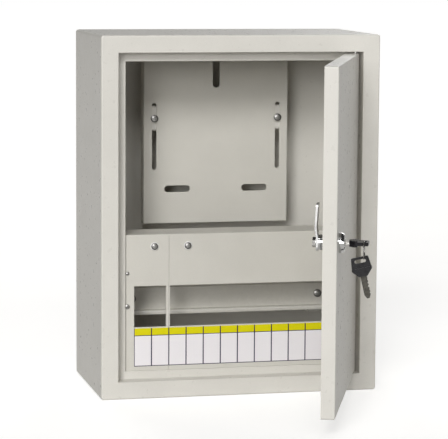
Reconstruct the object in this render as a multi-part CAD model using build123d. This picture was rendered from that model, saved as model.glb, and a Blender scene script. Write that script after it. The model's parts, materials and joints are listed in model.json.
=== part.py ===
from build123d import *
from math import cos, radians, sin
import os

# Steel distribution cabinet for a meter and a row of modular devices.
# Millimetres. X to the right, Y to the back, Z up. The origin is the centre of the cabinet's bottom face.
# The door pieces are drawn with the door shut, then turned about the hinge axis to the open rest pose.

# Cabinet
case_w = 310.0
case_h = 395.0
case_d = 165.0
sheet = 1.0
bend_r = 2.0
case_corner_r = 3.0
flange_w = 19.0
rebate_depth = 17.0
ledge_side_w = 10.8
ledge_low_w = 8.5
ledge_top_w = 10.0
lip_depth = 3.5
edge_r = 0.8

# Wall holes and cable knockouts
wall_hole_pitch_x = 250.0
wall_hole_pitch_z = 335.0
wall_hole_r = 3.5
knockout_r = 14.0
knockout_count = 3
knockout_pitch = 70.0
knockout_groove_w = 1.0
knockout_groove_depth = 0.55
knockout_y = 20.0

# Door
door_gap = 2.0
door_depth = 14.5
door_sheet = 1.0
door_bend_r = 1.8
door_lip_w = 9.0
door_open = 69.2

# Hinge
pivot_from_door_edge = 6.5
pivot_from_door_face = 4.0
pin_r = 2.0
pin_running_gap = 0.06
pin_head_r = 2.9
pin_head_h = 1.5
pin_reach = 3.6
washer_r = 3.4
washer_gap = 0.1
hinge_plate_w = 26.0
hinge_plate_t = 2.0

# Lock
lock_from_free_edge = 27.0
lock_height = 196.3
escutcheon_r = 10.4
escutcheon_h = 5.5
escutcheon_nose_r = 8.9
barrel_r = 7.8
barrel_length = 20.7
barrel_hole_gap = 0.2
lock_nut_flats = 21.0
lock_nut_h = 3.5
plug_r = 5.95
plug_running_gap = 0.05
plug_collar_r = 7.0
plug_collar_h = 1.5
plug_recess = 0.5
cam_seat_gap = 0.1
cam_square = 8.0
cam_w = 16.0
cam_t = 2.0
cam_length = 40.0
cam_knee = 15.0
cam_crank = 1.6
cam_bolt_flats = 9.0
cam_bolt_head_h = 3.2
cam_bolt_r = 2.5
cam_bolt_length = 10.0
cam_washer_r = 5.5
cam_washer_t = 0.8

# Keys and ring
bow_end_w = 17.2
bow_wide_w = 20.6
bow_wide_at = 13.0
bow_neck_w = 8.6
bow_length = 19.5
bow_t = 3.6
bow_rim_w = 1.5
bow_recess = 0.35
bow_collar_t = 6.2
bow_collar_from = 11.0
bow_edge_r = 0.4
bow_corner_r = 1.2
ring_slot_from_end = 2.3
ring_slot_w = 3.8
ring_slot_l = 11.5
blade_w = 6.4
blade_tip_w = 4.0
blade_t = 2.0
blade_length = 22.8
blade_cut_r = 1.1
blade_cut_from_bow = 4.1
blade_cut_pitch = 3.4
blade_cut_count = 5
blade_groove_w = 1.6
blade_groove_depth = 0.4
blade_groove_share = 0.8
tang_l = 8.0
tang_w = 5.0
keyway_gap = 0.1
key_stand_off = 10.2
ring_r = 8.8
ring_wire_r = 0.55
ring_rest_gap = 0.05
spare_tilt = 13.3

# Cover panels
panel_seat_gap = 0.3
panel_sheet = 1.0
panel_top_z = 177.5
panel_bottom_z = 22.0
panel_flange = 45.0
panel_bend_r = 1.5
panel_side_tuck = 4.8
seam_gap = 0.3
seam_flange = 9.0
seam_notch_gap = 1.0
module_pitch = 19.37
left_modules = 2
window_margin_left = 10.3
window_margin_right = 7.0
window_low_z = 75.5
window_h = 45.5
window_seam_margin = 3.2
seal_hole_r = 1.1
seal_hole_from_seam = 12.1

# Printed labels
label_t = 0.25
label_low_z = 32.0
label_top_gap = 1.4

# Panel support
bar_t = 1.2
bar_h = 20.0
bar_leg = 20.0
bar_screw_drop = 13.1
bar_screw_up = 12.0
panel_screw_r = 2.0
panel_screw_head_r = 3.6
panel_screw_head_h = 2.4
panel_screw_length = 7.0
panel_washer_r = 4.6
panel_washer_t = 0.7
panel_screw_from_seam_left = 16.2
panel_screw_from_seam_right = 21.0
panel_screw_from_side = 22.0
screw_hole_gap = 0.25
side_plate_z = 88.0
side_plate_h = 54.0
side_plate_leg = 18.0
side_plate_clear = 2.3
side_screw_r = 1.5
side_screw_head_r = 2.6
side_screw_head_h = 1.8
side_screw_length = 5.0
side_screw_low = 10.6
side_screw_high = 47.2
side_screw_lip_gap = 0.15
side_pin_head_r = 1.9

# Mounting rail for modular devices
rail_h = 35.0
rail_hat = 27.0
rail_depth = 7.5
rail_t = 1.0
rail_bend_r = 1.2
rail_end_room = 38.0
rail_front_y = -15.0
rail_z = 98.8
rail_bracket_from_end = 9.8
rail_bracket_h = 44.0
rail_bracket_w = 20.0
rail_bracket_t = 1.5
rail_bracket_foot = 14.0
rail_screw_r = 2.5
rail_screw_head_r = 4.4
rail_screw_head_h = 2.6
rail_screw_length = 7.0

# Meter plate
plate_w = 168.4
plate_low_z = 176.2
plate_top_z = 375.0
plate_front_y = 43.5
plate_t = 1.0
plate_flange = 15.0
plate_bend_r = 1.5
side_slot_x = 71.8
side_slot_low_z = 237.3
side_slot_h = 76.0
side_slot_w = 5.2
top_slot_w = 8.2
top_slot_low_z = 330.0
top_slot_h = 36.5
low_slot_x = 45.0
low_slot_z = 215.3
low_slot_l = 29.8
low_slot_w = 7.6
plate_screw_z = 295.6
plate_screw_r = 2.3
plate_screw_head_r = 4.2
plate_screw_head_h = 2.6
plate_screw_length = 9.0
plate_washer_r = 5.2
plate_washer_t = 0.8
plate_bracket_w = 18.0
plate_bracket_h = 28.6
plate_bracket_t = 1.5
plate_bracket_foot = 12.0

# Earth stud
earth_x = -100.0
earth_z = 40.0
earth_r = 3.0
earth_length = 24.0
earth_washer_r = 6.0
earth_washer_t = 1.2
earth_nut_flats = 10.0
earth_nut_h = 5.0

# Worked out places
case_front = -case_d / 2
case_back = case_d / 2
wall_x = case_w / 2 - sheet
wall_y = case_back - sheet
frame_x = case_w / 2 - flange_w
frame_low = flange_w
frame_top = case_h - flange_w
ledge_y = case_front + rebate_depth
mouth_x = frame_x - ledge_side_w
mouth_low = frame_low + ledge_low_w
mouth_top = frame_top - ledge_top_w
lip_end_y = ledge_y + lip_depth
door_x = frame_x - door_gap
door_low = frame_low + door_gap
door_top = frame_top - door_gap
door_back = case_front + door_depth
pivot_x = door_x - pivot_from_door_edge
pivot_y = case_front + pivot_from_door_face
lock_x = -door_x + lock_from_free_edge
panel_y = lip_end_y + panel_seat_gap
panel_back = panel_y + panel_sheet
panel_x = mouth_x + panel_side_tuck
window_left_x = window_margin_left - mouth_x
window_room = 2 * mouth_x - window_margin_left - window_margin_right
right_modules = int(window_room / module_pitch) - left_modules
seam_x = window_left_x + left_modules * module_pitch
window_right_x = seam_x + right_modules * module_pitch
window_top_z = window_low_z + window_h
screw_row_z = panel_top_z - bar_screw_drop
bar_low = screw_row_z - bar_screw_up
rail_length = case_w - 2 * rail_end_room
rail_bracket_x = rail_length / 2 - rail_bracket_from_end
rail_web_back = rail_front_y + rail_depth
plate_back = plate_front_y + plate_t
wall_mid_z = case_h / 2
hinge_axis = Axis((pivot_x, pivot_y, 0), (0, 0, 1))


def block(x0, x1, y0, y1, z0, z1, corner_r=0.0):
    """A bar along Y whose front outline is a rectangle, with rounded corners where asked."""
    width, height = x1 - x0, z1 - z0
    outline = RectangleRounded(width, height, corner_r) if corner_r else Rectangle(width, height)
    plane = Plane(origin=((x0 + x1) / 2, y0, (z0 + z1) / 2), x_dir=(1, 0, 0), z_dir=(0, 1, 0))
    return extrude(plane * outline, amount=y1 - y0)


def edges_in_plane_y(shape, y, x_low, x_high, z_low, z_high):
    """Edges that lie at one depth, on the outline of a rectangle seen from the front."""
    near = 0.05
    found = []
    for edge in shape.edges().filter_by_position(Axis.Y, y - near, y + near):
        mid = edge.center()
        box = edge.bounding_box()
        if box.size.Y > near:
            continue
        on_side = min(abs(mid.X - x_low), abs(mid.X - x_high)) < near and z_low < mid.Z < z_high
        on_end = min(abs(mid.Z - z_low), abs(mid.Z - z_high)) < near and x_low < mid.X < x_high
        if on_side or on_end:
            found.append(edge)
    return found


def rod(x, y, z, axis, radius, length):
    """A round bar that starts at a point and runs along an axis."""
    plane = Plane(origin=(x, y, z), z_dir=axis)
    return extrude(plane * Circle(radius), amount=length)


def slot_y(x, z, length, width, upright, y0, y1):
    """A cutter for a slot with round ends through a sheet that faces the front."""
    plane = Plane(origin=(x, y0, z), x_dir=(1, 0, 0), z_dir=(0, 1, 0))
    outline = SlotOverall(length, width, rotation=90 if upright else 0)
    return extrude(plane * outline, amount=y1 - y0)


def fold(points, thickness, bend, side=Side.LEFT):
    """The section of a folded strip: the line of one face, thickened to one side of its travel."""
    line = FilletPolyline(*points, radius=bend)
    return make_face(offset(line, amount=thickness, side=side, closed=True))


def along_x(section, x0, x1):
    """Extrude a section drawn in depth and height from x0 to x1."""
    plane = Plane(origin=(x0, 0, 0), x_dir=(0, 1, 0), z_dir=(1, 0, 0))
    return extrude(plane * section, amount=x1 - x0)


def pan_screw(x, y, z, shank_r, head_r, head_h, length):
    """A round headed screw with a cross recess, its head towards the front and its seat at y."""
    dome = 0.4 * head_h
    ball = (head_r ** 2 + dome ** 2) / (2 * dome)
    halfway = head_r / 2
    crown = head_h - ball + (ball ** 2 - halfway ** 2) ** 0.5
    with BuildSketch(Plane.XZ) as half:
        with BuildLine():
            Polyline((0, -length), (shank_r, -length), (shank_r, 0), (head_r, 0), (head_r, head_h - dome))
            ThreePointArc((head_r, head_h - dome), (halfway, crown), (0, head_h))
            Line((0, head_h), (0, -length))
        make_face()
    screw = revolve(half.sketch, Axis.Z)
    arm, slit, deep = head_r * 1.1, head_r * 0.24, head_h * 0.5
    for turn in (0, 90):
        screw -= Pos(0, 0, head_h - deep / 2) * Rot(0, 0, turn) * Box(arm, slit, deep)
    return Pos(x, y, z) * Rot(90, 0, 0) * screw


def washer(x, y, z, hole_r, outer_r, thickness):
    """A flat washer whose back face is at y."""
    plane = Plane(origin=(x, y, z), z_dir=(0, -1, 0))
    return extrude(plane * (Circle(outer_r) - Circle(hole_r)), amount=thickness)


def hex_bar(x, y, z, flats, thickness, direction=-1):
    """A six sided bar along Y, as long as asked, from y towards the front or the back."""
    plane = Plane(origin=(x, y, z), z_dir=(0, direction, 0))
    return extrude(plane * RegularPolygon(flats / 2, 6, major_radius=False), amount=thickness)


def opened(shape):
    """Turn a piece of the shut door to the open rest pose."""
    return shape.rotate(hinge_axis, door_open)


def cabinet_shell():
    """The folded and welded box with its front flange, door rebate, ledge and return lip."""
    body = block(-case_w / 2, case_w / 2, case_front, case_back, 0, case_h, case_corner_r)
    ends = body.faces().sort_by(Axis.Y)
    body = fillet(ends[0].edges() + ends[-1].edges(), bend_r)
    inner_r = case_corner_r - sheet
    hollow = block(-wall_x, wall_x, case_front + sheet, wall_y, sheet, case_h - sheet, inner_r)
    ends = hollow.faces().sort_by(Axis.Y)
    hollow = fillet(ends[0].edges() + ends[-1].edges(), bend_r - sheet)
    body -= hollow
    body += block(-frame_x - sheet, frame_x + sheet, case_front + sheet / 2, ledge_y + sheet,
                  frame_low - sheet, frame_top + sheet)
    body -= block(-frame_x, frame_x, case_front - sheet, ledge_y, frame_low, frame_top)
    body += block(-mouth_x - sheet, mouth_x + sheet, ledge_y + sheet / 2, lip_end_y,
                  mouth_low - sheet, mouth_top + sheet)
    body -= block(-mouth_x, mouth_x, ledge_y - sheet, lip_end_y + sheet, mouth_low, mouth_top)
    rims = edges_in_plane_y(body, case_front, -frame_x, frame_x, frame_low, frame_top)
    rims += edges_in_plane_y(body, ledge_y, -frame_x, frame_x, frame_low, frame_top)
    rims += edges_in_plane_y(body, ledge_y, -mouth_x, mouth_x, mouth_low, mouth_top)
    body = fillet(rims, edge_r)
    for side in (-1, 1):
        for end in (-1, 1):
            x = side * wall_hole_pitch_x / 2
            z = wall_mid_z + end * wall_hole_pitch_z / 2
            body -= rod(x, wall_y - sheet, z, (0, 1, 0), wall_hole_r, 3 * sheet)
    body -= rod(pivot_x, pivot_y, frame_top - sheet, (0, 0, 1), pin_r, 3 * sheet)
    body -= rod(pivot_x, pivot_y, frame_low + sheet, (0, 0, -1), pin_r, 3 * sheet)
    for number in range(knockout_count):
        x = (number - (knockout_count - 1) / 2) * knockout_pitch
        plane = Plane(origin=(x, knockout_y, 0), z_dir=(0, 0, 1))
        groove = Circle(knockout_r) - Circle(knockout_r - knockout_groove_w)
        body -= extrude(plane * groove, amount=knockout_groove_depth)
    return body


def door_pan():
    """The folded door pan with rounded bends, return lips, the lock hole and the hinge holes."""
    pan = block(-door_x, door_x, case_front, door_back, door_low, door_top, door_bend_r)
    pan = fillet(pan.faces().sort_by(Axis.Y)[0].edges(), door_bend_r - edge_r / 2)
    inner_x = door_x - door_sheet
    pan -= block(-inner_x, inner_x, case_front + door_sheet, door_back - door_sheet,
                 door_low + door_sheet, door_top - door_sheet, door_bend_r - door_sheet)
    mouth = door_x - door_lip_w
    pan -= block(-mouth, mouth, door_back - 2 * door_sheet, door_back + door_sheet,
                 door_low + door_lip_w, door_top - door_lip_w, door_bend_r)
    pan -= rod(lock_x, case_front - door_sheet, lock_height, (0, 1, 0), barrel_r + barrel_hole_gap,
               3 * door_sheet)
    hole_r = pin_r + pin_running_gap
    pan -= rod(pivot_x, pivot_y, door_top - 2 * door_sheet, (0, 0, 1), hole_r, 3 * door_sheet)
    pan -= rod(pivot_x, pivot_y, door_low - door_sheet, (0, 0, 1), hole_r, 3 * door_sheet)
    return pan


def hinge_plate(upper):
    """The corner plate inside the door that gives a hinge pin its second wall."""
    inner = door_x - door_bend_r
    face = case_front + door_sheet
    back = door_back - door_sheet
    z0 = door_top - door_sheet - hinge_plate_t if upper else door_low + door_sheet
    plate = block(inner - hinge_plate_w, inner, face, back, z0, z0 + hinge_plate_t)
    corner = plate.edges().filter_by(Axis.Z).group_by(Axis.X)[0].sort_by(Axis.Y)[-1]
    plate = chamfer(corner, (back - face) / 2)
    return plate - rod(pivot_x, pivot_y, z0 - door_sheet, (0, 0, 1), pin_r + pin_running_gap,
                       hinge_plate_t + 2 * door_sheet)


def hinge_pin(upper):
    """A headed pin through the cabinet's rebate wall into the door."""
    way = -1 if upper else 1
    seat = frame_top + sheet if upper else frame_low - sheet
    length = sheet + door_gap + pin_reach
    pin = rod(pivot_x, pivot_y, seat, (0, 0, way), pin_r, length)
    tip = pin.edges().sort_by(Axis.Z)[0 if upper else -1]
    pin = chamfer(tip, pin_r / 4)
    return pin + rod(pivot_x, pivot_y, seat, (0, 0, -way), pin_head_r, pin_head_h)


def hinge_washer():
    """The washer on the lower pin that carries the door's weight."""
    plane = Plane(origin=(pivot_x, pivot_y, frame_low), z_dir=(0, 0, 1))
    return extrude(plane * (Circle(washer_r) - Circle(pin_r)), amount=door_gap - washer_gap)


def lock_spin(points):
    """A turned piece on the lock axis, from radius and distance out of the door's face."""
    with BuildSketch(Plane.XZ) as half:
        with BuildLine():
            Polyline(*points, close=True)
        make_face()
    turned = revolve(half.sketch, Axis.Z)
    return Pos(lock_x, case_front, lock_height) * Rot(90, 0, 0) * turned


def lock_housing():
    """The plated barrel with its tapered escutcheon and the bore for the plug."""
    bore = plug_r + plug_running_gap
    collar = plug_collar_r + plug_running_gap
    step = escutcheon_h - plug_recess - plug_collar_h
    body = lock_spin([
        (bore, -barrel_length), (barrel_r, -barrel_length), (barrel_r, 0), (escutcheon_r, 0),
        (escutcheon_r, escutcheon_h * 0.45), (escutcheon_nose_r, escutcheon_h),
        (collar, escutcheon_h), (collar, step), (bore, step)])
    rim = body.edges().filter_by(GeomType.CIRCLE).sort_by(Axis.Y)[0]
    return fillet(rim, edge_r / 2)


def lock_nut():
    """The nut that clamps the barrel from inside the door."""
    seat = case_front + door_sheet
    nut = hex_bar(lock_x, seat, lock_height, lock_nut_flats, lock_nut_h, 1)
    return nut - rod(lock_x, seat - door_sheet, lock_height, (0, 1, 0), barrel_r, lock_nut_h + 2 * door_sheet)


def lock_plug():
    """The turning plug with its front collar, keyway and the square that carries the cam."""
    front = escutcheon_h - plug_recess
    tail = -barrel_length - cam_seat_gap
    plug = lock_spin([(0, tail), (plug_r, tail), (plug_r, front - plug_collar_h),
                      (plug_collar_r, front - plug_collar_h), (plug_collar_r, front), (0, front)])
    square = Pos(lock_x, case_front - tail + cam_t / 2, lock_height) * Box(cam_square, cam_t, cam_square)
    plug += square
    depth = front + blade_length - key_stand_off + keyway_gap
    keyway = Box(blade_w + 2 * keyway_gap, depth, blade_t + 2 * keyway_gap)
    plug -= Pos(lock_x, case_front - front + depth / 2, lock_height) * keyway
    thread = rod(lock_x, case_front - tail + cam_t, lock_height, (0, -1, 0), cam_bolt_r,
                 cam_bolt_length - cam_washer_t)
    return plug - thread


def lock_cam():
    """The cranked cam plate, upright in the unlocked pose, cut from strip and bent twice."""
    base = case_front + barrel_length + cam_seat_gap
    knee_y = base + cam_crank
    half = cam_w / 2
    line = [(base, -half), (base, half * 0.7), (knee_y, cam_knee), (base, cam_length)]
    side = fold(line, cam_t, 1.5 * cam_t, Side.RIGHT)
    strip = Pos(0, 0, lock_height) * along_x(side, lock_x - half, lock_x + half)
    keep_plane = Plane(origin=(lock_x, base - cam_w, lock_height), x_dir=(1, 0, 0), z_dir=(0, 1, 0))
    reach = cam_length + half
    outline = keep_plane * (Pos(0, -(cam_length - half) / 2) * RectangleRounded(cam_w, reach, half * 0.45))
    strip = strip & extrude(outline, amount=3 * cam_w)
    return strip - Pos(lock_x, base, lock_height) * Box(cam_square, 4 * cam_w, cam_square)


def cam_bolt():
    """The hexagon bolt that clamps the cam to the plug."""
    seat = case_front + barrel_length + cam_seat_gap + cam_t + cam_washer_t
    head = hex_bar(lock_x, seat, lock_height, cam_bolt_flats, cam_bolt_head_h, 1)
    return head + rod(lock_x, seat, lock_height, (0, -1, 0), cam_bolt_r, cam_bolt_length)


def cam_washer():
    """The washer between the cam and its bolt."""
    seat = case_front + barrel_length + cam_seat_gap + cam_t + cam_washer_t
    return washer(lock_x, seat, lock_height, cam_bolt_r, cam_washer_r, cam_washer_t)


def key_blade_flat():
    """A grooved blade with wafer cuts along one edge. The bow's end is at y 0 and the tip is along -Y."""
    root = -bow_length
    tip = root - blade_length
    half, tip_half = blade_w / 2, blade_tip_w / 2
    taper = tip + blade_w * 0.6
    outline = Polyline((tang_w / 2, root + tang_l), (tang_w / 2, root), (half, root), (half, taper),
                       (tip_half * 0.6, tip), (-tip_half * 0.6, tip), (-half, taper), (-half, root),
                       (-tang_w / 2, root), (-tang_w / 2, root + tang_l), close=True)
    blade = extrude(make_face(outline), amount=blade_t / 2, both=True)
    for number in range(blade_cut_count):
        y = root - blade_cut_from_bow - blade_cut_pitch * number
        deep = blade_cut_r * (0.35 + 0.3 * (number % 3))
        blade -= Pos(half + blade_cut_r - deep, y) * Cylinder(blade_cut_r, 2 * blade_t)
    groove = Box(blade_groove_w, blade_length * blade_groove_share, 2 * blade_groove_depth)
    for face in (-1, 1):
        blade -= Pos(-blade_w / 6, root - blade_length / 2, face * blade_t / 2) * groove
    return blade


def key_bow_flat():
    """A moulded bow with six sides, sunk faces, a thicker collar, the ring slot and the blade's pocket."""
    corners = [(bow_end_w / 2, 0), (bow_wide_w / 2, -bow_wide_at), (bow_neck_w / 2, -bow_length),
               (-bow_neck_w / 2, -bow_length), (-bow_wide_w / 2, -bow_wide_at), (-bow_end_w / 2, 0)]
    outline = make_face(FilletPolyline(*corners, radius=bow_corner_r, close=True))
    bow = extrude(outline, amount=bow_t / 2, both=True)
    collar = extrude(outline, amount=bow_collar_t / 2, both=True)
    cut_l = bow_length - bow_collar_from
    collar = collar & Pos(0, -bow_collar_from - cut_l / 2) * Box(bow_wide_w, cut_l, bow_collar_t)
    bow = chamfer(bow.faces().sort_by(Axis.Z)[0].edges() + bow.faces().sort_by(Axis.Z)[-1].edges(), bow_edge_r)
    field_l = bow_collar_from - 2 * bow_rim_w
    middle = Pos(0, -bow_rim_w - field_l / 2) * Rectangle(bow_wide_w, field_l)
    field = offset(outline, amount=-bow_rim_w) & middle
    for face in (-1, 1):
        bow -= Pos(0, 0, face * bow_t / 2) * extrude(field, amount=bow_recess, both=True)
    bow += collar
    centre = -ring_slot_from_end - ring_slot_w / 2
    bow -= Pos(0, centre) * extrude(SlotOverall(ring_slot_l, ring_slot_w), amount=bow_t, both=True)
    pocket = Box(tang_w, tang_l, blade_t)
    return bow - Pos(0, -bow_length + tang_l / 2) * pocket


def panel_screw_places():
    """Where the cover panel screws sit, from left to right."""
    return [seam_x - panel_screw_from_seam_left, seam_x + panel_screw_from_seam_right,
            mouth_x - panel_screw_from_side]


def side_fastener_x():
    """How far the side screws stand from the middle: just clear of the return lip."""
    return mouth_x - side_screw_lip_gap - side_screw_head_r


def cover_panel(x0, x1, window_x0, window_x1, seam_on_right, screw_places, side):
    """One cover panel: its face, the deep flange on top and the short one along the seam."""
    line = [(panel_y, panel_bottom_z), (panel_y, panel_top_z), (panel_y + panel_flange, panel_top_z)]
    panel = along_x(fold(line, panel_sheet, panel_bend_r, Side.RIGHT), x0, x1)
    edge = x1 - panel_sheet if seam_on_right else x0
    panel += block(edge, edge + panel_sheet, panel_y + panel_sheet / 2, panel_y + seam_flange,
                   panel_bottom_z, bar_low - seam_notch_gap)
    panel -= block(window_x0, window_x1, panel_y - panel_sheet, panel_back + panel_sheet / 2,
                   window_low_z, window_top_z)
    for x in screw_places:
        panel -= rod(x, panel_y - panel_sheet, screw_row_z, (0, 1, 0), panel_screw_r + screw_hole_gap,
                     3 * panel_sheet)
    for z in (side_screw_low, side_screw_high):
        panel -= rod(side * side_fastener_x(), panel_y - panel_sheet, side_plate_z + z, (0, 1, 0),
                     side_screw_r + screw_hole_gap, 3 * panel_sheet)
    return panel


def cover_panel_left():
    """The narrow sealable panel on the left."""
    x1 = seam_x - seam_gap / 2
    return cover_panel(-panel_x, x1, window_left_x, seam_x - window_seam_margin, True,
                       panel_screw_places()[:1], -1)


def cover_panel_right():
    """The wide panel on the right, with the hole for a sealing wire beside its first screw."""
    x0 = seam_x + seam_gap / 2
    panel = cover_panel(x0, panel_x, x0 + panel_sheet, window_right_x, False, panel_screw_places()[1:], 1)
    seal_x = seam_x + seal_hole_from_seam
    return panel - rod(seal_x, panel_y - panel_sheet, screw_row_z, (0, 1, 0), seal_hole_r, 3 * panel_sheet)


def label(x0, x1):
    """A printed strip under the window."""
    return block(x0, x1, panel_y - label_t, panel_y, label_low_z, window_low_z - label_top_gap)


def panel_support_bar():
    """The angle behind the panels, welded between the side walls, with tapped screw holes."""
    line = [(panel_back, bar_low + bar_h), (panel_back, bar_low), (panel_back + bar_leg, bar_low)]
    bar = along_x(fold(line, bar_t, bar_t + sheet / 2), -wall_x, wall_x)
    for x0 in (-wall_x, wall_x - bar_t):
        bar += block(x0, x0 + bar_t, panel_back, panel_back + bar_leg, bar_low, bar_low + bar_h)
    for x in panel_screw_places():
        bar -= rod(x, panel_back - bar_t, screw_row_z, (0, 1, 0), panel_screw_r, 3 * bar_t)
    return bar


def side_plate(side, inner_x):
    """The angle on a side wall that takes the two fasteners at a panel's outer edge."""
    line = [(inner_x, panel_back), (wall_x, panel_back), (wall_x, panel_back + side_plate_leg)]
    plane = Plane(origin=(0, 0, side_plate_z), x_dir=(1, 0, 0), z_dir=(0, 0, 1))
    plate = extrude(plane * fold(line, bar_t, bar_t + sheet / 2), amount=side_plate_h)
    for z in (side_screw_low, side_screw_high):
        plate -= rod(side_fastener_x(), panel_back - bar_t, side_plate_z + z, (0, 1, 0), side_screw_r, 3 * bar_t)
    return plate if side > 0 else mirror(plate, Plane.YZ)


def hat_bracket(x, z, front_y, width, height, foot, thickness, screw_r):
    """A folded bracket with two feet on the back wall and a tapped hole in its front plate."""
    half = height / 2 - thickness
    line = [(wall_y, z - half - foot), (wall_y, z - half), (front_y + thickness, z - half),
            (front_y + thickness, z + half), (wall_y, z + half), (wall_y, z + half + foot)]
    bracket = along_x(fold(line, thickness, thickness + sheet / 2), x - width / 2, x + width / 2)
    return bracket - rod(x, front_y - thickness, z, (0, 1, 0), screw_r, 3 * thickness)


def din_rail():
    """The top hat rail that the modular devices clip on."""
    lip = rail_front_y + rail_t
    hat, half = rail_hat / 2, rail_h / 2
    line = [(lip, rail_z - half), (lip, rail_z - hat), (rail_web_back, rail_z - hat),
            (rail_web_back, rail_z + hat), (lip, rail_z + hat), (lip, rail_z + half)]
    rail = along_x(fold(line, rail_t, rail_bend_r), -rail_length / 2, rail_length / 2)
    for side in (-1, 1):
        rail -= rod(side * rail_bracket_x, rail_web_back - 2 * rail_t, rail_z, (0, 1, 0),
                    rail_screw_r + screw_hole_gap, 3 * rail_t)
    return rail


def meter_plate():
    """The plate that the meter hangs on, with folded sides and slots for every fixing."""
    x, back = plate_w / 2, plate_front_y + plate_flange
    line = [(-x, back), (-x, plate_front_y), (x, plate_front_y), (x, back)]
    plane = Plane(origin=(0, 0, plate_low_z), x_dir=(1, 0, 0), z_dir=(0, 0, 1))
    plate = extrude(plane * fold(line, plate_t, plate_bend_r), amount=plate_top_z - plate_low_z)
    y0, y1 = plate_front_y - plate_t, plate_back + plate_t
    for side in (-1, 1):
        plate -= slot_y(side * side_slot_x, side_slot_low_z + side_slot_h / 2, side_slot_h, side_slot_w,
                        True, y0, y1)
        plate -= slot_y(side * low_slot_x, low_slot_z, low_slot_l, low_slot_w, False, y0, y1)
    return plate - slot_y(0, top_slot_low_z + top_slot_h / 2, top_slot_h, top_slot_w, True, y0, y1)


def earth_stud():
    """The welded earthing stud on the back wall."""
    stud = rod(earth_x, wall_y, earth_z, (0, -1, 0), earth_r, earth_length)
    tip = stud.edges().filter_by(GeomType.CIRCLE).sort_by(Axis.Y)[0]
    return chamfer(tip, earth_r / 4)


def earth_nut():
    """The nut that clamps the earth wires on the stud."""
    seat = wall_y - earth_washer_t
    nut = hex_bar(earth_x, seat, earth_z, earth_nut_flats, earth_nut_h)
    return nut - rod(earth_x, seat + sheet, earth_z, (0, -1, 0), earth_r, earth_nut_h + 2 * sheet)


# Keys and ring, placed on the shut door
key_end = case_front - key_stand_off - bow_length
slot_mid = ring_slot_from_end + ring_slot_w / 2
rim_edge = bow_end_w / 2 + (bow_wide_w - bow_end_w) / 2 * slot_mid / bow_wide_at
rim_half = (rim_edge - ring_slot_l / 2) / 2
ring_x = lock_x - rim_edge + rim_half
ring_y = key_end + slot_mid
ring_inner = ring_r - ring_wire_r - ring_rest_gap
ring_z = lock_height + bow_t / 2 - (ring_inner ** 2 - rim_half ** 2) ** 0.5
hang_z = ring_z - ring_r
ring_sag = ring_r - (ring_r ** 2 - (bow_t / 2) ** 2) ** 0.5
wire_room = ring_wire_r + ring_sag + ring_rest_gap


def in_lock(flat):
    """The key in the lock: its flat lies level and its bow points out of the door."""
    return Pos(lock_x, key_end, lock_height) * Rot(0, 0, 180) * flat


def on_ring(flat):
    """The spare key hangs by the end of its slot and leans by its own weight."""
    lean = radians(spare_tilt)
    play = ring_slot_w / 2 - wire_room
    across = (ring_slot_l - ring_slot_w) / 2 + play * sin(lean)
    down = slot_mid - play * cos(lean)
    plane = Plane(origin=(ring_x, ring_y, hang_z), x_dir=(0, -cos(lean), sin(lean)), z_dir=(-1, 0, 0))
    return plane.location * Pos(-across, down) * flat


def key_ring():
    """The round wire ring through the slots of both keys."""
    return Pos(ring_x, ring_y, ring_z) * Rot(90, 0, 0) * Torus(ring_r, ring_wire_r)


def group(pieces):
    """Separate solids that share one node."""
    return Compound(children=pieces)


blade = key_blade_flat()
bow = key_bow_flat()
screws = [pan_screw(x, panel_y - panel_washer_t, screw_row_z, panel_screw_r, panel_screw_head_r,
                    panel_screw_head_h, panel_screw_length) for x in panel_screw_places()]
washers = [washer(x, panel_y, screw_row_z, panel_screw_r, panel_washer_r, panel_washer_t)
           for x in panel_screw_places()]
side_screws = [pan_screw(side * side_fastener_x(), panel_y, side_plate_z + side_screw_low, side_screw_r,
                         side_screw_head_r, side_screw_head_h, side_screw_length) for side in (-1, 1)]
side_pins = [pan_screw(side * side_fastener_x(), panel_y, side_plate_z + side_screw_high, side_screw_r,
                       side_pin_head_r, side_screw_head_h, side_screw_length) for side in (-1, 1)]
rail_screws = [pan_screw(side * rail_bracket_x, rail_web_back - rail_t, rail_z, rail_screw_r,
                         rail_screw_head_r, rail_screw_head_h, rail_screw_length) for side in (-1, 1)]
plate_seat = plate_front_y - plate_washer_t
plate_screws = [pan_screw(side * side_slot_x, plate_seat, plate_screw_z, plate_screw_r,
                          plate_screw_head_r, plate_screw_head_h, plate_screw_length) for side in (-1, 1)]
plate_washers = [washer(side * side_slot_x, plate_front_y, plate_screw_z, plate_screw_r,
                        plate_washer_r, plate_washer_t) for side in (-1, 1)]
pieces = {
    "cabinet_body": cabinet_shell(),
    "hinge_pins": group([hinge_pin(True), hinge_pin(False)]),
    "hinge_washer": hinge_washer(),
    "panel_support_bar": panel_support_bar(),
    "side_plate_left": side_plate(-1, -window_left_x + side_plate_clear),
    "side_plate_right": side_plate(1, window_right_x + side_plate_clear),
    "cover_panel_left": cover_panel_left(),
    "cover_panel_right": cover_panel_right(),
    "label_left": label(window_left_x, seam_x - seam_gap / 2),
    "label_right": label(seam_x + seam_gap / 2, window_right_x),
    "panel_screws": group(screws),
    "panel_washers": group(washers),
    "side_screws": group(side_screws),
    "side_pins": group(side_pins),
    "din_rail": din_rail(),
    "rail_screws": group(rail_screws),
    "meter_plate": meter_plate(),
    "plate_screws": group(plate_screws),
    "plate_washers": group(plate_washers),
    "earth_stud": earth_stud(),
    "earth_washer": washer(earth_x, wall_y, earth_z, earth_r, earth_washer_r, earth_washer_t),
    "earth_nut": earth_nut(),
}
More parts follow.
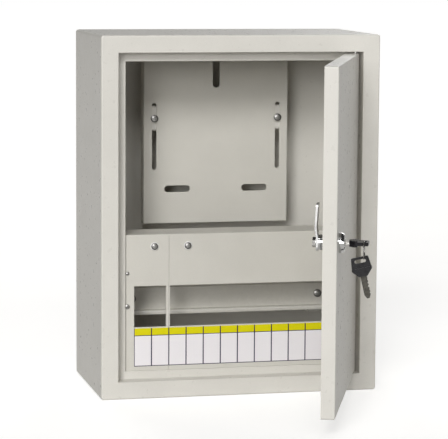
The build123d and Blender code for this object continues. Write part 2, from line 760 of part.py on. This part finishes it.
for name, side in (("left", -1), ("right", 1)):
    pieces["rail_bracket_" + name] = hat_bracket(
        side * rail_bracket_x, rail_z, rail_web_back, rail_bracket_w, rail_bracket_h,
        rail_bracket_foot, rail_bracket_t, rail_screw_r)
    pieces["plate_bracket_" + name] = hat_bracket(
        side * side_slot_x, plate_screw_z, plate_back, plate_bracket_w, plate_bracket_h,
        plate_bracket_foot, plate_bracket_t, plate_screw_r)
door_pieces = {
    "door": door_pan(),
    "hinge_plate_upper": hinge_plate(True),
    "hinge_plate_lower": hinge_plate(False),
    "lock_housing": lock_housing(),
    "lock_nut": lock_nut(),
    "lock_plug": lock_plug(),
    "lock_cam": lock_cam(),
    "cam_washer": cam_washer(),
    "cam_bolt": cam_bolt(),
    "key_blade": in_lock(blade),
    "key_bow": in_lock(bow),
    "key_ring": key_ring(),
    "spare_key_blade": on_ring(blade),
    "spare_key_bow": on_ring(bow),
}
for name, shape in door_pieces.items():
    pieces[name] = opened(shape)

os.makedirs("parts", exist_ok=True)
for name, shape in pieces.items():
    export_step(shape, "parts/" + name + ".step")
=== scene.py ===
import json
from math import cos, radians, sin, tau

import bmesh
import bpy
from mathutils import Matrix, Vector


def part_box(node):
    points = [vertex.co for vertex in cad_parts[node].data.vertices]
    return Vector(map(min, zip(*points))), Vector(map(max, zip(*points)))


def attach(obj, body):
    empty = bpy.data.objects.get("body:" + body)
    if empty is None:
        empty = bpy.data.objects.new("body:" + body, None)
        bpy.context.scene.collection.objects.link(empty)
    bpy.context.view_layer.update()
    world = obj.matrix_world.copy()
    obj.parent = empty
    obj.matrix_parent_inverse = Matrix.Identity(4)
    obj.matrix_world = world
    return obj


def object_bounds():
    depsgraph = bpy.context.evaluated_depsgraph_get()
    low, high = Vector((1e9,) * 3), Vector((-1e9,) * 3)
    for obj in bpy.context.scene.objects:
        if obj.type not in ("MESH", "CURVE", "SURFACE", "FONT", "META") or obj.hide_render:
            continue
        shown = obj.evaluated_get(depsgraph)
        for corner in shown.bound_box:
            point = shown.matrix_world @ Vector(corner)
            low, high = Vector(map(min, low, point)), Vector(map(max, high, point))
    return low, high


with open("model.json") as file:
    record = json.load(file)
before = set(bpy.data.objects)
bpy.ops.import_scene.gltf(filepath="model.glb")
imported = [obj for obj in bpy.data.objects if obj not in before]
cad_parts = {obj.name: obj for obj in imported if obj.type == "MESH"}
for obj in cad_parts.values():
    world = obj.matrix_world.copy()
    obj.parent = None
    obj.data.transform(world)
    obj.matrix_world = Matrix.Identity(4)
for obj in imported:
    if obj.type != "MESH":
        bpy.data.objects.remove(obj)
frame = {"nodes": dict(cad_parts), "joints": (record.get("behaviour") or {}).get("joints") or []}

# The wall cabinet of the photograph, in metres: X to the right, Y to the back, Z up
cad_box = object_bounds()
nodes = frame["nodes"]
joints = {joint["name"]: joint for joint in frame["joints"]}
scene = bpy.context.scene
millimetre = 0.001
to_front = Vector((0.0, -1.0, 0.0))
white = (1.0, 1.0, 1.0, 1.0)

# The photograph's frame and the camera that took it
photo_width = 448
focal_pixels = 2235.35
sensor_width = 36.0
camera_place = Vector((-0.57226, -2.42998, 0.49316))
camera_yaw = 0.2312
camera_pitch = 0.1231
camera_roll = 0.0064
camera_reach = 60.0

# Lamps: degrees to the right of the front, degrees up, strength
soft_boxes = {"key_high": (-24, 27, 1.15), "key_low": (-28, 10, 0.90), "front_left": (-12, 32, 0.40),
              "front_right": (12, 30, 0.26), "fill_right": (33, 6, 0.46), "overhead": (-20, 62, 0.24),
              "behind_left": (-172, 40, 0.50), "behind_right": (155, 25, 0.60)}
lamp_spread = radians(18)

# The light of the world, and the glow that metal and sheen mirror of it: from the horizon's to the
# ceiling's between two heights, which are sines of the angle above the horizon
world_level = 0.01
horizon_glow = 0.30
ceiling_glow = 0.05
ceiling_from = 0.10
ceiling_to = 0.50

# The floor: its glow for the camera and in mirrors
floor_size = 30.0
floor_drop = 0.2 * millimetre
floor_roughness = 0.9
floor_glow = 0.62
floor_mirrored = 0.30

# Colours in linear light
paint_light = (0.685, 0.665, 0.614)
paint_dark = (0.640, 0.621, 0.572)
# A darker copy of the cabinet's paint for the meter plate and cover panels, which stand back inside the
# cabinet: painted shade
plate_shaded_light = (0.640, 0.620, 0.565)
plate_shaded_dark = (0.600, 0.581, 0.528)
label_white = (0.830, 0.800, 0.820)
label_fibre = (0.700, 0.690, 0.700)
label_yellow = (0.700, 0.640, 0.002)
label_ink = (0.030, 0.020, 0.060)
rail_light = (0.670, 0.650, 0.595)
rail_dark = (0.630, 0.610, 0.555)
zinc_light = (0.420, 0.412, 0.395)
zinc_dark = (0.200, 0.197, 0.190)
washer_light = (0.900, 0.890, 0.870)
washer_dark = (0.800, 0.790, 0.770)
# Screw heads: painted light for the crowns that face the front, painted shade for the sloping skirts
screw_painted_light = (0.520, 0.512, 0.495)
screw_painted_shade = (0.045, 0.044, 0.040)
cam_light = (0.640, 0.640, 0.630)
cam_dark = (0.480, 0.480, 0.475)
chrome_tint = (0.600, 0.600, 0.595)
chrome_shade = (0.500, 0.500, 0.495)
# One nickel for both key blades, in two copies: a dark one with painted shade for the spare key's blade,
# a light one with painted light for the blade in the lock
nickel_painted_shade_high = (0.095, 0.090, 0.078)
nickel_painted_shade_low = (0.040, 0.038, 0.033)
blade_painted_light_high = (0.720, 0.705, 0.670)
blade_painted_light_low = (0.480, 0.470, 0.445)
wire_light = (0.420, 0.410, 0.390)
wire_dark = (0.220, 0.215, 0.205)
plastic_black = (0.005, 0.005, 0.006)
plastic_grey = (0.011, 0.010, 0.012)
floor_colour = (0.66, 0.65, 0.63)
floor_grain = (0.68, 0.67, 0.65)

# How far either side of a half the values of a noise are taken as its whole range
usual_reach = 0.20
narrow_reach = 0.15

# Variation of a surface: how much smoother or rougher than its own value, and the mottle's share of the
# paint's colour, where the speckle has the rest
smoother = 0.05
paint_rougher = 0.06
metal_rougher = 0.08
mottle_share = 0.45

# Screw heads, with painted light and shade: how squarely a face turns to the front, from all painted
# shade on the skirt to all painted light on the crown
painted_shade_facing = 0.90
painted_light_facing = 0.98

# Print on the labels
cell_pitch = 19.37 * millimetre
yellow_band = 8.0 * millimetre
cell_line = 1.25 * millimetre
band_line = 0.8 * millimetre

# Screw threads
barrel_radius = 7.8 * millimetre
barrel_thread_pitch = 1.25 * millimetre
barrel_thread_depth = 0.35 * millimetre
stud_thread_pitch = 1.0 * millimetre
stud_thread_depth = 0.2 * millimetre
thread_steps = 40

# Half the width of a thread's ridge, in parts of the pitch, and the part of its length that it fades over
ridge_foot = 0.42
ridge_crest = 0.08
thread_fade = 0.125


class Graph:
    """A node tree, with a short call for each kind of node that it takes."""

    def __init__(self, tree):
        self.tree = tree

    def node(self, kind, **settings):
        made = self.tree.nodes.new(kind)
        for key, value in settings.items():
            setattr(made, key, value)
        return made

    def feed(self, socket, value):
        """Link an output to a socket, or set a plain value on it."""
        if isinstance(value, bpy.types.NodeSocket):
            self.tree.links.new(value, socket)
        else:
            socket.default_value = value

    def axes(self, vector):
        """The X, Y and Z of a vector."""
        made = self.node("ShaderNodeSeparateXYZ")
        self.feed(made.inputs[0], vector)
        return made.outputs

    def math(self, operation, first, second=0.0):
        made = self.node("ShaderNodeMath", operation=operation)
        self.feed(made.inputs[0], first)
        self.feed(made.inputs[1], second)
        return made.outputs[0]

    def spread(self, value, low, high, to_low=0.0, to_high=1.0):
        """Stretch a range of values over another range."""
        made = self.node("ShaderNodeMapRange")
        for number, part in enumerate((value, low, high, to_low, to_high)):
            self.feed(made.inputs[number], part)
        return made.outputs[0]


class Shader(Graph):
    """The node tree of one material."""

    def __init__(self, name, roughness, metallic=0.0, **values):
        self.material = bpy.data.materials.new(name)
        self.material.use_nodes = True
        super().__init__(self.material.node_tree)
        self.surface = self.tree.nodes["Principled BSDF"]
        self.surface.inputs["Roughness"].default_value = roughness
        self.surface.inputs["Metallic"].default_value = metallic
        for socket, value in values.items():
            self.surface.inputs[socket.replace("_", " ")].default_value = value
        coordinates = self.node("ShaderNodeTexCoord").outputs
        self.place = coordinates["Object"]
        self.facing = coordinates["Normal"]

    def stretched(self, scale):
        """The object's own coordinates, scaled by axis."""
        mapping = self.node("ShaderNodeMapping")
        self.feed(mapping.inputs["Vector"], self.place)
        mapping.inputs["Scale"].default_value = scale
        return mapping.outputs["Vector"]

    def noise(self, scale, detail=2.0, where=None):
        made = self.node("ShaderNodeTexNoise")
        self.feed(made.inputs["Vector"], where or self.place)
        made.inputs["Scale"].default_value = scale
        made.inputs["Detail"].default_value = detail
        return made.outputs["Fac"]

    def grain(self, scale, detail=2.0, low=0.0, high=1.0, reach=usual_reach):
        """Noise that runs from a low value to a high one."""
        return self.spread(self.noise(scale, detail), 0.5 - reach, 0.5 + reach, low, high)

    def cells(self, scale):
        """A random colour for each cell."""
        made = self.node("ShaderNodeTexVoronoi")
        self.feed(made.inputs["Vector"], self.place)
        made.inputs["Scale"].default_value = scale
        return made.outputs["Color"]

    def blend(self, amount, first, second):
        """Mix two colours."""
        made = self.node("ShaderNodeMix", data_type="RGBA")
        self.feed(made.inputs[0], amount)
        for socket, value in ((made.inputs[6], first), (made.inputs[7], second)):
            self.feed(socket, (*value, 1.0) if isinstance(value, tuple) else value)
        return made.outputs[2]

    def colour(self, value):
        self.feed(self.surface.inputs["Base Color"], value)

    def roughness(self, value):
        self.feed(self.surface.inputs["Roughness"], value)

    def bump(self, height, distance, strength):
        """Raise the surface by a height map, on top of the bumps made before."""
        made = self.node("ShaderNodeBump")
        made.inputs["Distance"].default_value = distance
        made.inputs["Strength"].default_value = strength
        self.feed(made.inputs["Height"], height)
        normal = self.surface.inputs["Normal"]
        if normal.links:
            self.feed(made.inputs["Normal"], normal.links[0].from_socket)
        self.feed(normal, made.outputs["Normal"])


def powder_coat(name, light, dark, roughness):
    """Baked powder paint: an even colour, a fine speckle and the slow waves of orange peel."""
    shader = Shader(name, roughness, Specular_IOR_Level=0.5)
    mottle = shader.grain(scale=35.0, detail=3.0, reach=narrow_reach)
    speckle = shader.grain(scale=1400.0, detail=1.0)
    mottle = shader.math("MULTIPLY", mottle, mottle_share)
    speckle = shader.math("MULTIPLY", speckle, 1.0 - mottle_share)
    shader.colour(shader.blend(shader.math("ADD", mottle, speckle), dark, light))
    shader.roughness(shader.grain(scale=160.0, low=roughness - smoother, high=roughness + paint_rougher))
    shader.bump(shader.noise(scale=420.0), distance=0.02 * millimetre, strength=0.4)
    shader.bump(shader.noise(scale=1700.0), distance=0.01 * millimetre, strength=0.4)
    return shader.material


def zinc_plate(name, light, dark, roughness, crystals, metallic=1.0):
    """Zinc on steel, with its crystals and a faint cloudiness."""
    shader = Shader(name, roughness, metallic)
    tone = shader.node("ShaderNodeSeparateColor")
    shader.feed(tone.inputs[0], shader.cells(crystals))
    cloud = shader.grain(scale=90.0, detail=3.0)
    amount = shader.math("MULTIPLY", shader.math("ADD", tone.outputs[0], cloud), 0.5)
    shader.colour(shader.blend(amount, dark, light))
    shader.roughness(shader.spread(amount, 0.0, 1.0, roughness + metal_rougher, roughness - smoother))
    shader.bump(shader.noise(scale=1500.0), distance=0.03 * millimetre, strength=0.4)
    return shader.material


def screw_zinc_painted_shade(name):
    """Zinc plated screws whose heads carry painted light and shade: crowns that face the front are
    painted light, sloping skirts are painted dark.
    """
    shader = Shader(name, roughness=0.34, metallic=0.8)
    squarely = shader.math("ABSOLUTE", shader.axes(shader.facing)["Y"])
    crown = shader.spread(squarely, painted_shade_facing, painted_light_facing)
    shader.colour(shader.blend(crown, screw_painted_shade, screw_painted_light))
    shader.roughness(shader.grain(scale=900.0, low=0.28, high=0.42))
    shader.bump(shader.noise(scale=1500.0), distance=0.02 * millimetre, strength=0.4)
    return shader.material


def drawn_metal(name, light, dark, roughness, stretch):
    """Rolled or stamped metal with a fine texture, drawn out along the axis of the smallest stretch."""
    shader = Shader(name, roughness, metallic=1.0)
    lines = shader.noise(scale=1.0, detail=3.0, where=shader.stretched(stretch))
    amount = shader.spread(lines, 0.5 - usual_reach, 0.5 + usual_reach)
    shader.colour(shader.blend(amount, dark, light))
    shader.roughness(shader.spread(amount, 0.0, 1.0, roughness - smoother, roughness + metal_rougher))
    shader.bump(lines, distance=0.03 * millimetre, strength=0.35)
    return shader.material


def chrome(name):
    """Bright plating over turned brass, with faint polishing marks."""
    shader = Shader(name, roughness=0.07, metallic=1.0)
    marks = shader.noise(scale=2600.0, detail=3.0)
    amount = shader.spread(marks, 0.5 - usual_reach, 0.5 + usual_reach)
    shader.colour(shader.blend(amount, chrome_shade, chrome_tint))
    shader.roughness(shader.grain(scale=240.0, low=0.05, high=0.11))
    shader.bump(marks, distance=0.01 * millimetre, strength=0.25)
    return shader.material


def moulded_plastic(name):
    """Black moulded plastic with a fine spark eroded grain."""
    shader = Shader(name, roughness=0.30, Specular_IOR_Level=0.30)
    pits = shader.noise(scale=2200.0)
    amount = shader.spread(pits, 0.5 - narrow_reach, 0.5 + narrow_reach)
    shader.colour(shader.blend(amount, plastic_black, plastic_grey))
    shader.roughness(shader.grain(scale=300.0, low=0.24, high=0.36))
    shader.bump(pits, distance=0.02 * millimetre, strength=0.5)
    return shader.material


def printed_label(name, node):
    """A strip with one white cell for each module, a yellow band on top and dark lines between."""
    shader = Shader(name, roughness=0.38, Specular_IOR_Level=0.25)
    low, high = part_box(node)
    axes = shader.axes(shader.place)
    along = shader.math("SUBTRACT", axes["X"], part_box("label_left")[0].x)
    from_line = shader.math("PINGPONG", along, cell_pitch / 2)
    upright = shader.math("LESS_THAN", from_line, cell_line / 2)
    band_z = high.z - yellow_band
    in_band = shader.math("GREATER_THAN", axes["Z"], band_z)
    under_band = shader.math("COMPARE", axes["Z"], band_z)
    under_band.node.inputs[2].default_value = band_line / 2
    last = shader.math("LESS_THAN", axes["Z"], low.z + band_line)
    ink = shader.math("MAXIMUM", upright, shader.math("MAXIMUM", under_band, last))
    fibre = shader.grain(scale=900.0, detail=3.0, high=0.12)
    paper = shader.blend(fibre, label_white, label_fibre)
    print_colour = shader.blend(in_band, paper, label_yellow)
    shader.colour(shader.blend(ink, print_colour, label_ink))
    shader.roughness(shader.grain(scale=200.0, low=0.34, high=0.46))
    shader.bump(shader.noise(scale=1200.0), distance=0.02 * millimetre, strength=0.4)
    return shader.material


def dress(material, *names):
    """Give CAD nodes one material."""
    for name in names:
        data = nodes[name].data
        data.materials.clear()
        data.materials.append(material)


def mesh_piece(name, form, body, material):
    """Turn a bmesh into a piece that rides on a body."""
    mesh = bpy.data.meshes.new(name)
    form.to_mesh(mesh)
    form.free()
    mesh.shade_smooth()
    mesh.materials.append(material)
    piece = bpy.data.objects.new(name, mesh)
    scene.collection.objects.link(piece)
    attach(piece, body)


def thread(start, direction, length, radius, pitch, depth):
    """A closed helical ridge around an axis, that fades into the bar at both ends."""
    direction = direction.normalized()
    side = direction.orthogonal().normalized()
    up = direction.cross(side)
    form = bmesh.new()
    turns = length / pitch
    count = int(turns * thread_steps)
    foot = radius - depth
    rings = []
    for step in range(count + 1):
        part = step / count
        angle = tau * turns * part
        fade = min(1.0, part / thread_fade, (1 - part) / thread_fade)
        crest = radius - depth * (1 - fade)
        out = side * cos(angle) + up * sin(angle)
        middle = start + direction * length * part
        section = ((foot, -ridge_foot), (crest, -ridge_crest), (crest, ridge_crest), (foot, ridge_foot))
        rings.append([form.verts.new(middle + out * distance + direction * (along * pitch))
                      for distance, along in section])
    for first, second in zip(rings, rings[1:]):
        for corner in range(4):
            after = (corner + 1) % 4
            form.faces.new((first[corner], first[after], second[after], second[corner]))
    form.faces.new(rings[0])
    form.faces.new(reversed(rings[-1]))
    bmesh.ops.recalc_face_normals(form, faces=form.faces[:])
    return form


def farthest(node, origin, direction):
    """How far a node's vertices reach along a direction."""
    return max((vertex.co - origin).dot(direction) for vertex in nodes[node].data.vertices)


# Materials
paint = powder_coat("powder_coat_grey", paint_light, paint_dark, roughness=0.32)
# The cabinet's paint again, darker: painted shade for the pieces set back inside the cabinet
shaded_plate_paint = powder_coat("plate_coat_grey_painted_shade", plate_shaded_light, plate_shaded_dark, roughness=0.36)
galvanised = zinc_plate("galvanised_steel", rail_light, rail_dark, roughness=0.46, crystals=420.0,
                        metallic=0.3)
zinc = zinc_plate("zinc_plated", zinc_light, zinc_dark, roughness=0.28, crystals=900.0)
washer_zinc = zinc_plate("washer_zinc", washer_light, washer_dark, roughness=0.40, crystals=900.0,
                         metallic=0.3)
screw_steel = screw_zinc_painted_shade("screw_zinc_painted_shade")
cam_steel = drawn_metal("cam_steel", cam_light, cam_dark, roughness=0.30, stretch=(900.0, 900.0, 60.0))
# The same nickel twice: painted shade for the spare key's blade, painted light for the blade in the lock
nickel = drawn_metal("nickel_silver_painted_shade", nickel_painted_shade_high, nickel_painted_shade_low, roughness=0.42,
                     stretch=(500.0, 500.0, 500.0))
nickel_painted_light = drawn_metal("nickel_painted_light", blade_painted_light_high, blade_painted_light_low, roughness=0.30,
                            stretch=(500.0, 500.0, 500.0))
wire = drawn_metal("ring_wire", wire_light, wire_dark, roughness=0.25, stretch=(1500.0, 1500.0, 1500.0))
lock_chrome = chrome("lock_chrome")
key_plastic = moulded_plastic("key_plastic")

dress(paint, "cabinet_body", "door", "hinge_plate_upper", "hinge_plate_lower", "panel_support_bar",
      "side_plate_left", "side_plate_right", "rail_bracket_left", "rail_bracket_right",
      "plate_bracket_left", "plate_bracket_right")
# Meter plate and cover panels in the darker copy of the paint, with painted shade
dress(shaded_plate_paint, "meter_plate", "cover_panel_left", "cover_panel_right")
dress(galvanised, "din_rail", "plate_washers")
dress(washer_zinc, "panel_washers")
# Screws whose heads carry painted light on their crowns and painted shade on their skirts
dress(screw_steel, "panel_screws", "rail_screws", "plate_screws")
dress(zinc, "side_screws", "side_pins", "earth_stud", "earth_washer", "earth_nut", "hinge_pins",
      "hinge_washer", "cam_bolt", "cam_washer")
dress(lock_chrome, "lock_housing", "lock_nut", "lock_plug")
dress(cam_steel, "lock_cam")
# Painted light on the blade in the lock, painted shade on the spare key's blade
dress(nickel_painted_light, "key_blade")
dress(nickel, "spare_key_blade")
dress(wire, "key_ring")
dress(key_plastic, "key_bow", "spare_key_bow")
for label in ("label_left", "label_right"):
    dress(printed_label(label + "_print", label), label)

# Threads on the lock barrel and the earth stud
lock = joints["lock_turn"]
lock_origin = Vector(lock["pos_m"])
inward = -Vector(lock["axis"])
nut_end = farthest("lock_nut", lock_origin, inward)
barrel_end = farthest("lock_housing", lock_origin, inward)
barrel_from = lock_origin + inward * (nut_end + barrel_thread_pitch)
barrel_length = barrel_end - nut_end - 2 * barrel_thread_pitch
barrel_thread = thread(barrel_from, inward, barrel_length, barrel_radius + barrel_thread_depth,
                       barrel_thread_pitch, barrel_thread_depth)
mesh_piece("barrel_thread", barrel_thread, "door", lock_chrome)

stud_low, stud_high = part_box("earth_stud")
stud_radius = (stud_high.x - stud_low.x) / 2
stud_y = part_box("earth_nut")[0].y - stud_thread_pitch
stud_from = Vector(((stud_low.x + stud_high.x) / 2, stud_y, (stud_low.z + stud_high.z) / 2))
stud_length = stud_y - stud_low.y - 2 * stud_thread_pitch
stud_thread = thread(stud_from, to_front, stud_length, stud_radius + stud_thread_depth,
                     stud_thread_pitch, stud_thread_depth)
mesh_piece("stud_thread", stud_thread, "cabinet", zinc)


def pale_floor():
    """A pale floor that keeps the shadow, and glows for the camera and, less, in mirrors."""
    bpy.ops.mesh.primitive_plane_add(size=floor_size, location=(0, 0, cad_box[0].z - floor_drop))
    floor = bpy.context.object
    floor.name = "floor"
    shader = Shader("floor_pale", floor_roughness, Specular_IOR_Level=0.0, Emission_Color=white)
    shader.colour(shader.blend(shader.grain(scale=6.0), floor_colour, floor_grain))
    path = shader.node("ShaderNodeLightPath").outputs
    seen = shader.math("MAXIMUM", path["Is Camera Ray"], path["Is Transmission Ray"])
    glow = shader.math("MULTIPLY", seen, floor_glow)
    mirrored = shader.math("MULTIPLY", path["Is Glossy Ray"], floor_mirrored)
    shader.feed(shader.surface.inputs["Emission Strength"], shader.math("MAXIMUM", glow, mirrored))
    floor.data.materials.append(shader.material)


def white_background():
    """A world that is white to the camera and through glass, and dimmer in metal and sheen."""
    world = bpy.data.worlds.new("studio")
    scene.world = world
    world.use_nodes = True
    graph = Graph(world.node_tree)
    path = graph.node("ShaderNodeLightPath").outputs
    height = graph.axes(graph.node("ShaderNodeTexCoord").outputs["Generated"])["Z"]
    glow = graph.spread(height, ceiling_from, ceiling_to, horizon_glow, ceiling_glow)
    mirrored = graph.math("MULTIPLY", path["Is Glossy Ray"], glow)
    seen = graph.math("MAXIMUM", path["Is Camera Ray"], path["Is Transmission Ray"])
    level = graph.math("MAXIMUM", graph.math("MAXIMUM", seen, mirrored), world_level)
    background = graph.tree.nodes["Background"]
    background.inputs["Color"].default_value = white
    graph.feed(background.inputs["Strength"], level)


def lights():
    """Large soft lamps, far enough away to light the cabinet evenly."""
    for name, (aside, up, strength) in soft_boxes.items():
        aside, up = radians(aside), radians(up)
        toward = Vector((sin(aside) * cos(up), -cos(aside) * cos(up), sin(up)))
        lamp = bpy.data.lights.new(name, "SUN")
        lamp.energy = strength
        lamp.angle = lamp_spread
        holder = bpy.data.objects.new(name, lamp)
        holder.rotation_euler = toward.to_track_quat("Z", "Y").to_euler()
        scene.collection.objects.link(holder)


def photo_camera():
    """The camera of the photograph, from its place, turn and focal length."""
    ahead = Vector((sin(camera_yaw) * cos(camera_pitch), cos(camera_yaw) * cos(camera_pitch),
                    -sin(camera_pitch)))
    right = Vector((cos(camera_yaw), -sin(camera_yaw), 0.0))
    up = right.cross(ahead)
    turned_right = right * cos(camera_roll) + up * sin(camera_roll)
    turned_up = up * cos(camera_roll) - right * sin(camera_roll)
    lens = bpy.data.cameras.new("photo_camera")
    lens.sensor_fit = "HORIZONTAL"
    lens.sensor_width = sensor_width
    lens.lens = focal_pixels / photo_width * sensor_width
    lens.clip_end = camera_reach
    holder = bpy.data.objects.new("photo_camera", lens)
    turn = Matrix((turned_right, turned_up, -ahead)).transposed()
    holder.matrix_world = Matrix.Translation(camera_place) @ turn.to_4x4()
    scene.collection.objects.link(holder)
    scene.camera = holder


pale_floor()
white_background()
lights()
photo_camera()
scene.view_settings.view_transform = "Standard"
